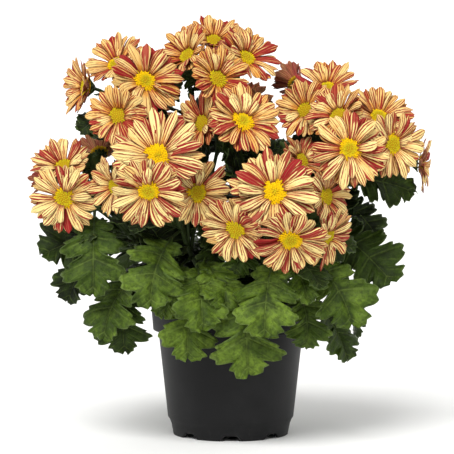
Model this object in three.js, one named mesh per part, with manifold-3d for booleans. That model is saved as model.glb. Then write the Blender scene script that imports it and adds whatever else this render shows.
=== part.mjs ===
// A potted chrysanthemum: four leafy cuttings in a black nursery pot, with single daisy blooms.
// Millimetres, +Z up. The origin is the middle of the pot's foot, on the surface it stands on.
// The front, which the photograph shows, faces -Y.
import * as THREE from "three";
import { mergeVertices } from "three/addons/utils/BufferGeometryUtils.js";
import Module from "manifold-3d";

const wasm = await Module();
wasm.setup();

// Driving dimensions
const clearance = 0.3; // between two pieces that lie on each other
const air = 0.45; // how far a petal or leaf stays from another node
const pot = {
  rimRadius: 65,
  rimFootRadius: 63,
  bodyTopRadius: 58.8,
  bodyFootRadius: 51,
  footRadius: 47,
  skirtInnerRadius: 43.8,
  height: 110,
  rimBottom: 85,
  footStep: 14,
  baseLift: 5,
  wall: 1.6,
  sides: 24,
  feet: 8,
  notchTop: 9,
  notchBottom: 17,
  notchHeight: 4.3,
  drainRadius: 4,
  drainCircle: 33,
};
const soil = { top: 98, unevenness: 1.6, sides: 16, gap: 1 };
const stemSize = {
  crownHeight: 128,
  holeDepth: 22,
  holeGap: 0.5,
  mainRadius: 3.3,
  crownRadius: 2.8,
  lateralRadius: 2.4,
  lateralTipRadius: 2,
  stalkRadius: 1.6,
  calyxShare: 0.19, // calyx radius over bloom radius
};
const petal = {
  hubShare: 0.27, // hub radius over bloom radius
  hubDepth: 1.6,
  bellyAt: 0.68, // where the petal is widest, along its length
  bellyShare: 0.2, // half width there over bloom radius
  keel: 1.6,
  tipShare: 0.72, // half width at the tip over the belly's
  arch: 9, // degrees that the petal turns down, on each side of its pitch
};
const disc = { sides: 8, height: 3.8, shoulder: 1.7, bump: 0.45 };
const blade = { thickness: 0.9, petioleHalfWidth: 1.5, fold: 0.2, faceLift: 35, mostRoll: 65 };

// A leaf's outline, over blade length: the place on the rib, and the edge point's distance along and out.
const leafOutline = [
  [0, 0, 0.04],
  [0.17, 0.28, 0.37],
  [0.33, 0.42, 0.17],
  [0.5, 0.66, 0.42],
  [0.66, 0.73, 0.18],
  [0.82, 0.92, 0.24],
  [1, 1, 0.05],
];

// Blooms, by the stem that carries them and the fork that their stalk leaves.
// at is the hub's middle, azimuth is 0 to the front and positive to the right, lift is above the horizon,
// cup is the petals' rise from flat. A bloom whose face shows in the photograph has its disc as its own node.
const frontLeftBlooms = [
  { name: "bloom_left_high", fork: 0, at: [-134, -15, 217], azimuth: -18, lift: 48, radius: 29, cup: 28, disc: true },
  { name: "bloom_left_low", fork: 0, at: [-131, -55, 195], azimuth: -10, lift: -10, radius: 30, cup: 8, disc: true },
  { name: "bloom_left_side", fork: 0, at: [-147, 30, 205], azimuth: -115, lift: 12, radius: 22, cup: 58 },
  { name: "bloom_left_inner", fork: 0, at: [-90, -76, 205], azimuth: -55, lift: -4, radius: 27, cup: 25 },
  { name: "bloom_main_left", fork: 1, at: [-56, -98, 229], azimuth: 0, lift: 24, radius: 38, cup: 12, disc: true },
  { name: "bloom_main_left_low", fork: 1, at: [-62, -134, 205], azimuth: -6, lift: -22, radius: 32, cup: 10, disc: true },
  { name: "bloom_middle", fork: 1, at: [-27, -92, 201], azimuth: 26, lift: 0, radius: 30, cup: 20, disc: true },
  { name: "bloom_middle_high", fork: 1, at: [-22, -42, 253], azimuth: -42, lift: 14, radius: 27, cup: 24 },
];
const backLeftBlooms = [
  { name: "bloom_crest_left", fork: 0, at: [-116, -8, 281], azimuth: -62, lift: 6, radius: 28, cup: 30 },
  { name: "bloom_crest_left_up", fork: 0, at: [-92, 18, 299], azimuth: -30, lift: 46, radius: 31, cup: 25, disc: true },
  { name: "bloom_crest_main", fork: 0, at: [-68, -34, 286], azimuth: 20, lift: 22, radius: 33, cup: 15, disc: true },
  { name: "bloom_crest_low", fork: 0, at: [-88, -56, 259], azimuth: -14, lift: 14, radius: 28, cup: 20, disc: true },
  { name: "bloom_top_left", fork: 1, at: [-34, -2, 306], azimuth: -45, lift: 34, radius: 30, cup: 26, disc: true },
  { name: "bloom_top_back", fork: 1, at: [-14, 42, 318], azimuth: 5, lift: 56, radius: 29, cup: 32 },
  { name: "bloom_top_closed", fork: 1, at: [-10, 18, 305], azimuth: 178, lift: 36, radius: 22, cup: 52 },
  { name: "bloom_back_left", fork: 2, at: [-72, 80, 252], azimuth: -160, lift: 34, radius: 31, cup: 14 },
  { name: "bloom_left_closed", fork: 2, at: [-108, 34, 226], azimuth: -170, lift: 34, radius: 24, cup: 50 },
];
const frontRightBlooms = [
  { name: "bloom_main_right", fork: 0, at: [33, -112, 202], azimuth: 0, lift: 20, radius: 37, cup: 12, disc: true },
  { name: "bloom_low_left", fork: 0, at: [4, -124, 175], azimuth: -24, lift: -24, radius: 29, cup: 12, disc: true },
  { name: "bloom_low_right", fork: 0, at: [45, -131, 168], azimuth: 5, lift: -34, radius: 32, cup: 12, disc: true },
  { name: "bloom_right_inner", fork: 0, at: [73, -82, 198], azimuth: 52, lift: 6, radius: 28, cup: 18 },
  { name: "bloom_right_under", fork: 0, at: [73, -100, 168], azimuth: 48, lift: -20, radius: 28, cup: 14 },
  { name: "bloom_centre", fork: 1, at: [9, -72, 255], azimuth: 20, lift: 28, radius: 33, cup: 14, disc: true },
  { name: "bloom_centre_high", fork: 1, at: [-11, -40, 288], azimuth: 26, lift: 24, radius: 29, cup: 22, disc: true },
  { name: "bloom_centre_right", fork: 1, at: [55, -52, 224], azimuth: 40, lift: 40, radius: 26, cup: 30 },
];
const backRightBlooms = [
  { name: "bloom_right_main", fork: 0, at: [92, -85, 234], azimuth: -5, lift: 8, radius: 32, cup: 10, disc: true },
  { name: "bloom_right_end", fork: 0, at: [126, -60, 237], azimuth: 28, lift: 0, radius: 30, cup: 16, disc: true },
  { name: "bloom_right_mid", fork: 0, at: [85, -52, 259], azimuth: -30, lift: 30, radius: 29, cup: 26, disc: true },
  { name: "bloom_right_left", fork: 0, at: [60, -32, 262], azimuth: -32, lift: 20, radius: 28, cup: 24 },
  { name: "bloom_right_crest", fork: 0, at: [77, 6, 279], azimuth: -8, lift: 54, radius: 31, cup: 26 },
  { name: "bloom_right_up", fork: 0, at: [118, -20, 257], azimuth: 18, lift: 50, radius: 31, cup: 26 },
  { name: "bloom_far_right", fork: 0, at: [153, 0, 219], azimuth: 82, lift: -4, radius: 25, cup: 20 },
  { name: "bloom_right_closed", fork: 0, at: [53, 30, 284], azimuth: -140, lift: 26, radius: 22, cup: 52 },
  { name: "bloom_top_right", fork: 1, at: [12, 2, 304], azimuth: 38, lift: 36, radius: 31, cup: 24, disc: true },
  { name: "bloom_back_middle", fork: 2, at: [8, 98, 260], azimuth: 175, lift: 30, radius: 32, cup: 12 },
  { name: "bloom_back_right", fork: 2, at: [88, 78, 238], azimuth: 145, lift: 30, radius: 31, cup: 14 },
];

// Stems: each cutting rises to a crown, and side shoots run from there to the forks where its sprays start.
// A leaf is [tip x, tip y, tip z, blade length, bend in degrees, azimuth that its upper side turns to].
const stems = [
  {
    name: "leafy_stem_front_left",
    root: [-21, -22],
    forks: [
      [-84, -28, 168],
      [-38, -62, 172],
    ],
    blooms: frontLeftBlooms,
    leaves: [
      [-108, -67, 120, 64, 60, -15],
      [-62, -100, 114, 58, 75, -5],
      [-150, -30, 148, 62, 40, -20],
      [-100, -58, 84, 58, 75, -20],
      [-34, -86, 72, 58, 100, 0],
      [-84, -44, 72, 50, 80, -20],
      [-22, -104, 96, 56, 90, 0],
      [-100, -30, 172, 50, 40, -10],
      [-66, -70, 158, 46, 40, 0],
      [4, -95, 118, 50, 70, 0],
      [-50, -78, 100, 48, 80, -5],
    ],
  },
  {
    name: "leafy_stem_back_left",
    root: [-21, 22],
    forks: [
      [-72, 0, 225],
      [-22, 16, 240],
      [-62, 52, 168],
    ],
    blooms: backLeftBlooms,
    leaves: [
      [-132, -2, 108, 54, 55, -30],
      [-122, 50, 126, 62, 60, -90],
      [-92, 104, 116, 62, 70, -140],
      [-44, 128, 88, 60, 85, -160],
      [-104, 62, 76, 54, 85, -120],
      [-14, 156, 124, 62, 60, 180],
      [-118, 82, 178, 50, 40, -120],
      [-124, -8, 250, 34, 35, 0],
      [-40, 20, 286, 40, 30, 0],
      [-48, -14, 232, 40, 30, 0],
    ],
  },
  {
    name: "leafy_stem_front_right",
    root: [21, -22],
    forks: [
      [40, -72, 160],
      [12, -34, 205],
    ],
    blooms: frontRightBlooms,
    leaves: [
      [14, -88, 60, 66, 100, 0],
      [4, -72, 136, 46, 45, 0],
      [26, -112, 92, 60, 85, 0],
      [94, -84, 98, 64, 60, 20],
      [58, -66, 78, 46, 90, 10],
      [58, -106, 121, 48, 50, 10],
      [92, -50, 66, 52, 75, 20],
      [96, -62, 150, 48, 40, 10],
    ],
  },
  {
    name: "leafy_stem_back_right",
    root: [21, 22],
    forks: [
      [78, -12, 205],
      [18, 10, 240],
      [50, 56, 168],
    ],
    blooms: backRightBlooms,
    leaves: [
      [127, -44, 128, 62, 20, 10],
      [147, -16, 197, 60, 30, 10],
      [120, 4, 156, 42, 40, 20],
      [122, 54, 116, 62, 60, 90],
      [80, 108, 106, 62, 70, 140],
      [32, 130, 82, 60, 85, 170],
      [104, 52, 74, 54, 85, 110],
      [40, 142, 140, 56, 55, 170],
      [96, 88, 172, 50, 40, 130],
      [50, 8, 232, 44, 30, 0],
    ],
  },
];

// Where a leaf or petal goes when its first place is taken: small turns first.
const leafTurns = [0, 6, -6, 12, -12, 18, -18, 26, -26, 34, -34].flatMap((yaw) =>
  [0, 6, -6, 12, -12, 18, 26].map((pitch) => ({ yaw, pitch })),
);
leafTurns.sort((a, b) => Math.abs(a.yaw) + Math.abs(a.pitch) - Math.abs(b.yaw) - Math.abs(b.pitch));
const petalBends = [1, 0.85, 0.7, 0.55].flatMap((reach) =>
  [0, 6, -6, 12, -12, 18, -18, 25, -25, 32, 40, 48].map((pitch) => ({ reach, pitch })),
);
petalBends.sort((a, b) => cost(a) - cost(b));

const materials = {
  pot: new THREE.MeshStandardMaterial({ color: "#232426", roughness: 0.55, metalness: 0 }),
  soil: new THREE.MeshStandardMaterial({ color: "#2f2119", roughness: 1, metalness: 0 }),
  foliage: new THREE.MeshStandardMaterial({ color: "#46611f", roughness: 0.7, metalness: 0 }),
  petals: new THREE.MeshStandardMaterial({ color: "#eea368", roughness: 0.65, metalness: 0 }),
  disc: new THREE.MeshStandardMaterial({ color: "#e6bf12", roughness: 0.8, metalness: 0 }),
};

function cost(bend) {
  return Math.abs(bend.pitch) / 10 + (1 - bend.reach) * 9;
}

// A repeatable random number maker, 0 to 1.
function seeded(seed) {
  let state = seed >>> 0;
  return () => {
    state = (Math.imul(state, 1664525) + 1013904223) >>> 0;
    return state / 4294967296;
  };
}

const radians = THREE.MathUtils.degToRad;
const vector = (p) => new THREE.Vector3(...p);

// Solids and geometries
function solidFrom(points, triangles) {
  const vertProperties = new Float32Array(points.flat());
  const triVerts = new Uint32Array(triangles.flat());
  const made = new wasm.Manifold(new wasm.Mesh({ numProp: 3, vertProperties, triVerts }));
  if (made.volume() > 0) return made;
  return solidFrom(points, triangles.map(([a, b, c]) => [a, c, b]));
}

function solidOf(geometry) {
  const bare = geometry.clone();
  bare.deleteAttribute("normal");
  bare.deleteAttribute("uv");
  const merged = mergeVertices(bare, 1e-3);
  const position = merged.attributes.position;
  const points = Array.from({ length: position.count }, (_, i) => {
    return [position.getX(i), position.getY(i), position.getZ(i)];
  });
  const index = merged.index.array;
  const triangles = [];
  for (let i = 0; i < index.length; i += 3) {
    const [a, b, c] = [index[i], index[i + 1], index[i + 2]];
    if (a !== b && b !== c && c !== a) triangles.push([a, b, c]);
  }
  return solidFrom(points, triangles);
}

function geometryOf(solid) {
  const mesh = solid.getMesh();
  const positions = new Float32Array(mesh.numVert * 3);
  for (let i = 0; i < mesh.numVert; i++) {
    const from = i * mesh.numProp;
    positions.set(mesh.vertProperties.subarray(from, from + 3), i * 3);
  }
  return new THREE.BufferGeometry()
    .setAttribute("position", new THREE.BufferAttribute(positions, 3))
    .setIndex(new THREE.BufferAttribute(mesh.triVerts, 1));
}

function lathe(profile, sides) {
  const geometry = new THREE.LatheGeometry(profile.map(([r, z]) => new THREE.Vector2(r, z)), sides);
  return geometry.rotateX(Math.PI / 2);
}

function namedMesh(name, geometry, material) {
  const mesh = new THREE.Mesh(geometry, material);
  mesh.name = name;
  return mesh;
}

// What is already in place, so that later leaves and petals keep clear of it
const taken = [];

function take(solid, owner) {
  const { min, max } = solid.boundingBox();
  taken.push({ solid, owner, min, max });
}

function isFree(solid, ownerLeftOut) {
  const { min, max } = solid.boundingBox();
  return taken.every((other) => {
    if (other.owner === ownerLeftOut) return true;
    if ([0, 1, 2].some((k) => min[k] > other.max[k] || max[k] < other.min[k])) return true;
    return solid.intersect(other.solid).isEmpty();
  });
}

// The pot: a thin tapered shell with a banded rim, standing on a skirt that eight notches cut into feet
function potSolid() {
  const p = pot;
  const shell = solidOf(
    lathe(
      [
        [0, p.baseLift],
        [p.skirtInnerRadius, p.baseLift],
        [p.skirtInnerRadius, 0],
        [p.footRadius, 0],
        [p.footRadius + 0.6, p.baseLift + 1],
        [p.bodyFootRadius, p.footStep],
        [p.bodyTopRadius, p.rimBottom],
        [p.rimFootRadius, p.rimBottom],
        [p.rimRadius, p.height],
        [p.rimRadius - p.wall, p.height],
        [p.rimFootRadius - p.wall, p.rimBottom + p.wall],
        [p.bodyTopRadius - p.wall, p.rimBottom + p.wall],
        [p.bodyFootRadius - p.wall, p.footStep],
        [p.footRadius - 1, p.baseLift + p.wall],
        [0, p.baseLift + p.wall],
      ],
      p.sides,
    ),
  );
  const notch = new THREE.Shape([
    new THREE.Vector2(-p.notchBottom / 2, -1),
    new THREE.Vector2(p.notchBottom / 2, -1),
    new THREE.Vector2(p.notchTop / 2, p.notchHeight),
    new THREE.Vector2(-p.notchTop / 2, p.notchHeight),
  ]);
  const cutters = [];
  for (let i = 0; i < p.feet; i++) {
    const turn = (i * 2 * Math.PI) / p.feet;
    const notchGeometry = new THREE.ExtrudeGeometry(notch, { depth: 14, bevelEnabled: false })
      .rotateX(Math.PI / 2)
      .translate(0, -p.footRadius + 8, 0)
      .rotateZ(turn);
    const drain = new THREE.CylinderGeometry(p.drainRadius, p.drainRadius, 12, 6)
      .rotateX(Math.PI / 2)
      .translate(0, -p.drainCircle, p.baseLift)
      .rotateZ(turn + Math.PI / p.feet);
    cutters.push(solidOf(notchGeometry), solidOf(drain));
  }
  return shell.subtract(wasm.Manifold.union(cutters));
}

// The soil fills the pot to just under its rim, with an uneven top and a plain hole for each stem
function soilSolid() {
  const p = pot;
  const gap = soil.gap;
  const inner = (r) => r - p.wall - gap;
  const geometry = lathe(
    [
      [0, p.baseLift + p.wall + clearance],
      [inner(p.footRadius), p.baseLift + p.wall + clearance],
      [inner(p.bodyFootRadius), p.footStep + 0.5],
      [inner(p.bodyTopRadius), p.rimBottom + p.wall + clearance],
      [inner(p.rimFootRadius), p.rimBottom + p.wall + clearance],
      [inner(p.rimFootRadius) + 0.8, soil.top],
      [inner(p.rimFootRadius) * 0.7, soil.top + 0.5],
      [inner(p.rimFootRadius) * 0.36, soil.top + 1],
      [0, soil.top + 1.2],
    ],
    soil.sides,
  );
  const merged = mergeVertices(geometry.deleteAttribute("normal").deleteAttribute("uv"), 1e-3);
  const position = merged.attributes.position;
  const random = seeded(11);
  for (let i = 0; i < position.count; i++) {
    const height = (random() - 0.5) * 2 * soil.unevenness;
    const radius = Math.hypot(position.getX(i), position.getY(i));
    const onTop = position.getZ(i) > soil.top + 0.2 && radius < inner(p.rimFootRadius) * 0.8;
    if (onTop) position.setZ(i, position.getZ(i) + height);
  }
  const holeRadius = stemSize.mainRadius + stemSize.holeGap;
  const holes = stems.map((stem) =>
    solidOf(
      new THREE.CylinderGeometry(holeRadius, holeRadius, 60, 8)
        .rotateX(Math.PI / 2)
        .translate(stem.root[0], stem.root[1], soil.top - stemSize.holeDepth + 30),
    ),
  );
  return solidOf(merged).subtract(wasm.Manifold.union(holes));
}

// A tube along a curve. stations holds [share of the curve, radius] pairs.
function tubeAlong(curve, stations, sides) {
  const steps = 48;
  const frames = curve.computeFrenetFrames(steps);
  const profile = [[0, stations[0][0]], ...stations.map(([t, r]) => [r, t]), [0, stations.at(-1)[0]]];
  const geometry = new THREE.LatheGeometry(profile.map(([r, t]) => new THREE.Vector2(r, t)), sides);
  const position = geometry.attributes.position;
  for (let i = 0; i < position.count; i++) {
    const t = THREE.MathUtils.clamp(position.getY(i), 0, 1);
    const k = Math.round(t * steps);
    const p = curve
      .getPointAt(t)
      .addScaledVector(frames.normals[k], position.getX(i))
      .addScaledVector(frames.binormals[k], position.getZ(i));
    position.setXYZ(i, p.x, p.y, p.z);
  }
  return solidOf(geometry);
}

function directionOf(azimuth, lift) {
  const a = radians(azimuth);
  const e = radians(lift);
  return new THREE.Vector3(Math.sin(a) * Math.cos(e), -Math.cos(a) * Math.cos(e), Math.sin(e));
}

// A bowed run from one point to another that leaves along one direction and arrives along another
function bowedCurve(from, leaving, to, arriving, slack = 0.38) {
  const reach = from.distanceTo(to) * slack;
  return new THREE.CubicBezierCurve3(
    from,
    from.clone().addScaledVector(leaving, reach),
    to.clone().addScaledVector(arriving, -reach),
    to,
  );
}

// The wooden parts of one cutting: its main stem, the shoots to its forks, and a stalk to each bloom
function shootsOf(stem) {
  const up = new THREE.Vector3(0, 0, 1);
  const root = new THREE.Vector3(stem.root[0], stem.root[1], soil.top - stemSize.holeDepth + clearance);
  const crown = new THREE.Vector3(stem.root[0], stem.root[1], stemSize.crownHeight);
  const main = bowedCurve(root, up, crown, up);
  const shoots = stem.forks.map((fork) => {
    const to = vector(fork);
    const start = main.getPoint(0.9);
    const outward = to.clone().sub(start).normalize();
    const leaving = outward.clone().lerp(up, 0.35).normalize();
    const arriving = outward.clone().lerp(up, 0.5).normalize();
    return bowedCurve(start, leaving, to, arriving);
  });
  const stalks = stem.blooms.map((bloom) => {
    const spray = stem.blooms.filter((other) => other.fork === bloom.fork);
    const start = shoots[bloom.fork].getPoint(0.97 - (0.5 * spray.indexOf(bloom)) / spray.length);
    const facing = directionOf(bloom.azimuth, bloom.lift);
    const seat = vector(bloom.at).addScaledVector(facing, -(petal.hubDepth + clearance));
    const outward = seat.clone().sub(start).normalize();
    return bowedCurve(start, outward.lerp(up, 0.3).normalize(), seat, facing, 0.4);
  });
  return { main, shoots, stalks };
}

// The leaf's arc: a circular bow from its place on the shoot to its tip, with the blade rolled to face one way
function leafArc(root, tip, bend, azimuth) {
  const chord = tip.clone().sub(root);
  const half = radians(bend) / 2;
  const along = chord.clone().normalize();
  const up = new THREE.Vector3(0, 0, 1).addScaledVector(along, -along.z).normalize();
  const side = along.clone().cross(up);
  const wanted = directionOf(azimuth, blade.faceLift);
  const roll = Math.atan2(-wanted.dot(side), wanted.dot(up));
  const most = radians(blade.mostRoll);
  return {
    root,
    length: (chord.length() * half) / Math.sin(half),
    turn: 2 * half,
    forward: along.clone().multiplyScalar(Math.cos(half)).addScaledVector(up, Math.sin(half)),
    up: up.clone().multiplyScalar(Math.cos(half)).addScaledVector(along, -Math.sin(half)),
    side,
    roll: THREE.MathUtils.clamp(roll, -most, most),
  };
}

// A point of a leaf: distance from the root along the rib, distance out to the side, height over the blade
function leafPoint(arc, distance, out, height) {
  const angle = (arc.turn * distance) / arc.length;
  const radius = arc.length / arc.turn;
  const rib = arc.root
    .clone()
    .addScaledVector(arc.forward, radius * Math.sin(angle))
    .addScaledVector(arc.up, -radius * (1 - Math.cos(angle)));
  const normal = arc.up.clone().multiplyScalar(Math.cos(angle)).addScaledVector(arc.forward, Math.sin(angle));
  const side = arc.side.clone().multiplyScalar(Math.cos(arc.roll)).addScaledVector(normal, Math.sin(arc.roll));
  normal.multiplyScalar(Math.cos(arc.roll)).addScaledVector(arc.side, -Math.sin(arc.roll));
  const lift = blade.fold * Math.abs(out) - (0.45 * out * out) / arc.length;
  return rib.addScaledVector(side, out).addScaledVector(normal, lift + height).toArray();
}

function leafSolid(arc, bladeLength, swell = 0, petiole = true) {
  const start = arc.length - bladeLength;
  const stations = petiole ? [[0, 0, blade.petioleHalfWidth]] : [];
  for (const [rib, edge, out] of leafOutline) {
    const halfWidth = Math.max(out * bladeLength, blade.petioleHalfWidth);
    stations.push([start + rib * bladeLength, start + edge * bladeLength, halfWidth]);
  }
  const points = [];
  for (const [rib, edge, out] of stations) {
    for (const height of [blade.thickness / 2 + swell, -blade.thickness / 2 - swell]) {
      points.push(leafPoint(arc, edge, -out - swell, height));
      points.push(leafPoint(arc, rib, 0, height));
      points.push(leafPoint(arc, edge, out + swell, height));
    }
  }
  const triangles = [];
  const quad = (a, b, c, d) => triangles.push([a, b, c], [a, c, d]);
  for (let i = 0; i < stations.length - 1; i++) {
    const [a, b] = [i * 6, i * 6 + 6];
    quad(a, a + 1, b + 1, b);
    quad(a + 1, a + 2, b + 2, b + 1);
    quad(a + 4, a + 3, b + 3, b + 4);
    quad(a + 5, a + 4, b + 4, b + 5);
    quad(a + 3, a, b, b + 3);
    quad(a + 2, a + 5, b + 5, b + 2);
  }
  const last = (stations.length - 1) * 6;
  quad(1, 0, 3, 4);
  quad(2, 1, 4, 5);
  quad(last, last + 1, last + 4, last + 3);
  quad(last + 1, last + 2, last + 5, last + 4);
  return solidFrom(points, triangles);
}

// The place on the cutting's own shoots that a leaf grows from: the nearest that leaves room for blade and petiole
function leafRoot(curves, tip, bladeLength) {
  const places = curves
    .flatMap((curve) => [0.1, 0.3, 0.5].map((t) => curve.getPoint(t)))
    .filter((p) => p.z > pot.height + 6);
  const shortest = bladeLength * 1.15;
  const miss = (p) => {
    const d = p.distanceTo(tip);
    return d < shortest ? 1000 + shortest - d : d;
  };
  return places.reduce((best, p) => (miss(p) < miss(best) ? p : best));
}

function turnedTip(root, tip, { yaw, pitch }) {
  const arm = tip.clone().sub(root);
  const level = new THREE.Vector3(arm.y, -arm.x, 0).normalize();
  return arm
    .applyAxisAngle(level, radians(-pitch))
    .applyAxisAngle(new THREE.Vector3(0, 0, 1), radians(yaw))
    .add(root);
}

function growLeaf(stem, curves, [x, y, z, bladeLength, bend, azimuth]) {
  const tip = new THREE.Vector3(x, y, z);
  const root = leafRoot(curves, tip, bladeLength);
  const arcs = leafTurns.map((turn) => leafArc(root, turnedTip(root, tip, turn), bend, azimuth));
  const clear = arcs.filter((arc) => isFree(leafSolid(arc, bladeLength, air), stem.name));
  const alone = clear.find((arc) => isFree(leafSolid(arc, bladeLength, 0.1, false)));
  if (!alone) console.warn("leaf not clear", stem.name, x, y, z);
  const made = leafSolid(alone ?? clear[0] ?? arcs[0], bladeLength);
  take(made, stem.name);
  return made;
}

// One petal as rows of left edge, right edge and keel, in the bloom's own frame
function petalRows(bloom, turn, bend, swell = 0) {
  const hub = bloom.radius * petal.hubShare;
  const halfSector = Math.PI / bloom.count;
  const length = (bloom.radius - hub) * bend.reach;
  const pitch = radians(bloom.cup + bend.pitch);
  const arch = radians(petal.arch);
  const belly = length * petal.bellyAt;
  const rest = length - belly;
  const r1 = hub + belly * Math.cos(pitch + arch);
  const h1 = belly * Math.sin(pitch + arch);
  const r2 = r1 + rest * Math.cos(pitch - arch);
  const h2 = h1 + rest * Math.sin(pitch - arch);
  const fit = (r) => 0.92 * r * Math.tan(halfSector);
  const w1 = Math.min(bloom.radius * petal.bellyShare, fit(r1));
  const w2 = Math.min(w1 * petal.tipShare, fit(r2));
  const keelShift = (r, h, depth) => [r + depth * Math.sin(pitch), h - depth * Math.cos(pitch)];
  const place = (r, w, h) => {
    const [c, s] = [Math.cos(turn), Math.sin(turn)];
    return [r * c - w * s, r * s + w * c, h];
  };
  const row = (r, w, h, depth) => {
    const [kr, kh] = keelShift(r, h, depth + swell);
    return {
      left: place(r - swell * Math.sin(pitch), w + swell, h + swell),
      right: place(r - swell * Math.sin(pitch), -w - swell, h + swell),
      keel: place(kr, 0, kh),
    };
  };
  const base = row(hub, fit(hub), 0, 0);
  base.keel = place(hub * 0.8, 0, -petal.hubDepth - swell);
  return [base, row(r1, w1, h1, petal.keel), row(r2 + swell, w2, h2, 0)];
}

// The petal's faces: rows are index triples of left, right and keel, and the last has no keel
function petalTriangles(base, belly, tip) {
  return [
    [base.left, base.right, belly.right],
    [base.left, belly.right, belly.left],
    [belly.left, belly.right, tip.right],
    [belly.left, tip.right, tip.left],
    [base.keel, base.left, belly.left],
    [base.keel, belly.left, belly.keel],
    [base.right, base.keel, belly.keel],
    [base.right, belly.keel, belly.right],
    [belly.keel, belly.left, tip.left],
    [belly.keel, tip.left, tip.right],
    [belly.right, belly.keel, tip.right],
  ];
}

function indexRows(rows, points) {
  const add = (p) => points.push(p) - 1;
  const [base, belly, tip] = rows;
  return [
    { left: add(base.left), right: add(base.right), keel: add(base.keel) },
    { left: add(belly.left), right: add(belly.right), keel: add(belly.keel) },
    { left: add(tip.left), right: add(tip.right) },
  ];
}

function petalSolid(rows) {
  const points = [];
  const [base, belly, tip] = indexRows(rows, points);
  return solidFrom(points, [[base.left, base.keel, base.right], ...petalTriangles(base, belly, tip)]);
}

// The bloom's petals, sharing one hub; the disc is a low dome on it where it isn't a node of its own
function bloomSolid(bloom, bends) {
  const points = [];
  const triangles = [];
  const rings = bends.map((bend, i) => {
    const [base, belly, tip] = indexRows(petalRows(bloom, bloom.turns[i], bend), points);
    triangles.push(...petalTriangles(base, belly, tip));
    return base;
  });
  const under = points.push([0, 0, -petal.hubDepth]) - 1;
  const hub = bloom.radius * petal.hubShare;
  const top = points.push([0, 0, bloom.disc ? 0 : disc.height]) - 1;
  rings.forEach((here, i) => {
    const next = rings[(i + 1) % rings.length];
    triangles.push([here.left, here.keel, next.keel], [here.left, next.keel, next.right]);
    triangles.push([under, next.keel, here.keel]);
    if (bloom.disc) triangles.push([top, here.right, here.left], [top, here.left, next.right]);
  });
  if (!bloom.disc) {
    const dome = bloom.turns.map((turn, i) => {
      const height = disc.height * 0.75 + (i % 2 ? disc.bump : -disc.bump);
      return points.push([hub * 0.7 * Math.cos(turn), hub * 0.7 * Math.sin(turn), height]) - 1;
    });
    rings.forEach((here, i) => {
      const j = (i + 1) % rings.length;
      triangles.push([here.right, here.left, dome[i]]);
      triangles.push([here.left, rings[j].right, dome[j]], [here.left, dome[j], dome[i]]);
      triangles.push([top, dome[i], dome[j]]);
    });
  }
  return solidFrom(points, triangles);
}

// The disc of florets: a low dome whose surface is raised and sunk in turn
function discSolid(bloom) {
  const hub = bloom.radius * petal.hubShare;
  const geometry = lathe(
    [
      [0, clearance],
      [hub * 0.9, clearance],
      [hub * 0.96, disc.shoulder],
      [hub * 0.6, disc.height * 0.82],
      [0, disc.height],
    ],
    disc.sides,
  );
  const merged = mergeVertices(geometry.deleteAttribute("normal").deleteAttribute("uv"), 1e-3);
  const position = merged.attributes.position;
  for (let i = 0; i < position.count; i++) {
    const [x, y, z] = [position.getX(i), position.getY(i), position.getZ(i)];
    const r = Math.hypot(x, y);
    if (r < 0.1 || z <= clearance + 0.1) continue;
    const step = Math.round((Math.atan2(y, x) * disc.sides) / (2 * Math.PI));
    const ring = z > disc.height * 0.7 ? 1 : 0;
    const bump = (step + ring) % 2 === 0 ? disc.bump : -disc.bump;
    position.setZ(i, z + bump);
  }
  return solidOf(merged);
}

// Each bloom's place, petal count and middle are set before any petal, so that petals keep clear of every hub
function placeBloom(bloom, seed) {
  const random = seeded(seed);
  const facing = directionOf(bloom.azimuth, bloom.lift);
  const group = new THREE.Group();
  group.position.copy(vector(bloom.at));
  group.quaternion.setFromUnitVectors(new THREE.Vector3(0, 0, 1), facing);
  group.updateMatrix();
  const hub = bloom.radius * petal.hubShare;
  const core = solidOf(
    new THREE.CylinderGeometry(hub, hub, disc.height + petal.hubDepth, 8)
      .rotateX(Math.PI / 2)
      .translate(0, 0, (disc.height - petal.hubDepth) / 2),
  ).transform(group.matrix.elements);
  if (!isFree(core)) console.warn("hub not clear", bloom.name);
  bloom.count = bloom.radius > 33 ? 13 : bloom.radius > 26 ? 12 : 10;
  bloom.turns = Array.from({ length: bloom.count }, (_, i) => {
    return ((i + 0.5 + (random() - 0.5) * 0.05) * 2 * Math.PI) / bloom.count;
  });
  bloom.group = group;
  bloom.random = random;
  take(core, bloom.name);
}

function fillBloom(bloom) {
  const { group, random } = bloom;
  const toPart = (solid) => solid.transform(group.matrix.elements);
  const bends = bloom.turns.map((turn, i) => {
    const own = { reach: 0.94 + 0.12 * random(), pitch: (random() - 0.5) * 8 };
    const tries = petalBends.map((b) => ({ reach: own.reach * b.reach, pitch: own.pitch + b.pitch }));
    const swollen = (b) => toPart(petalSolid(petalRows(bloom, turn, b, air)));
    const clear = tries.find((b) => isFree(swollen(b), bloom.name));
    if (!clear) console.warn("petal not clear", bloom.name, i);
    return clear ?? { reach: 0.4, pitch: 20 };
  });
  const solid = bloomSolid(bloom, bends);
  const name = bloom.disc ? `${bloom.name}_petals` : bloom.name;
  group.add(namedMesh(name, geometryOf(solid), materials.petals));
  take(toPart(solid), bloom.name);
  if (bloom.disc) group.add(namedMesh(`${bloom.name}_disc`, geometryOf(discSolid(bloom)), materials.disc));
}

function evenStations(radii) {
  return radii.map((r, i) => [i / (radii.length - 1), r]);
}

// Assembly
const plant = new THREE.Group();
plant.name = "potted_chrysanthemum";

const potBody = potSolid();
const soilBody = soilSolid();
plant.add(namedMesh("pot", geometryOf(potBody), materials.pot));
plant.add(namedMesh("soil", geometryOf(soilBody), materials.soil));
take(potBody, "pot");
take(soilBody, "soil");

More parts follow.
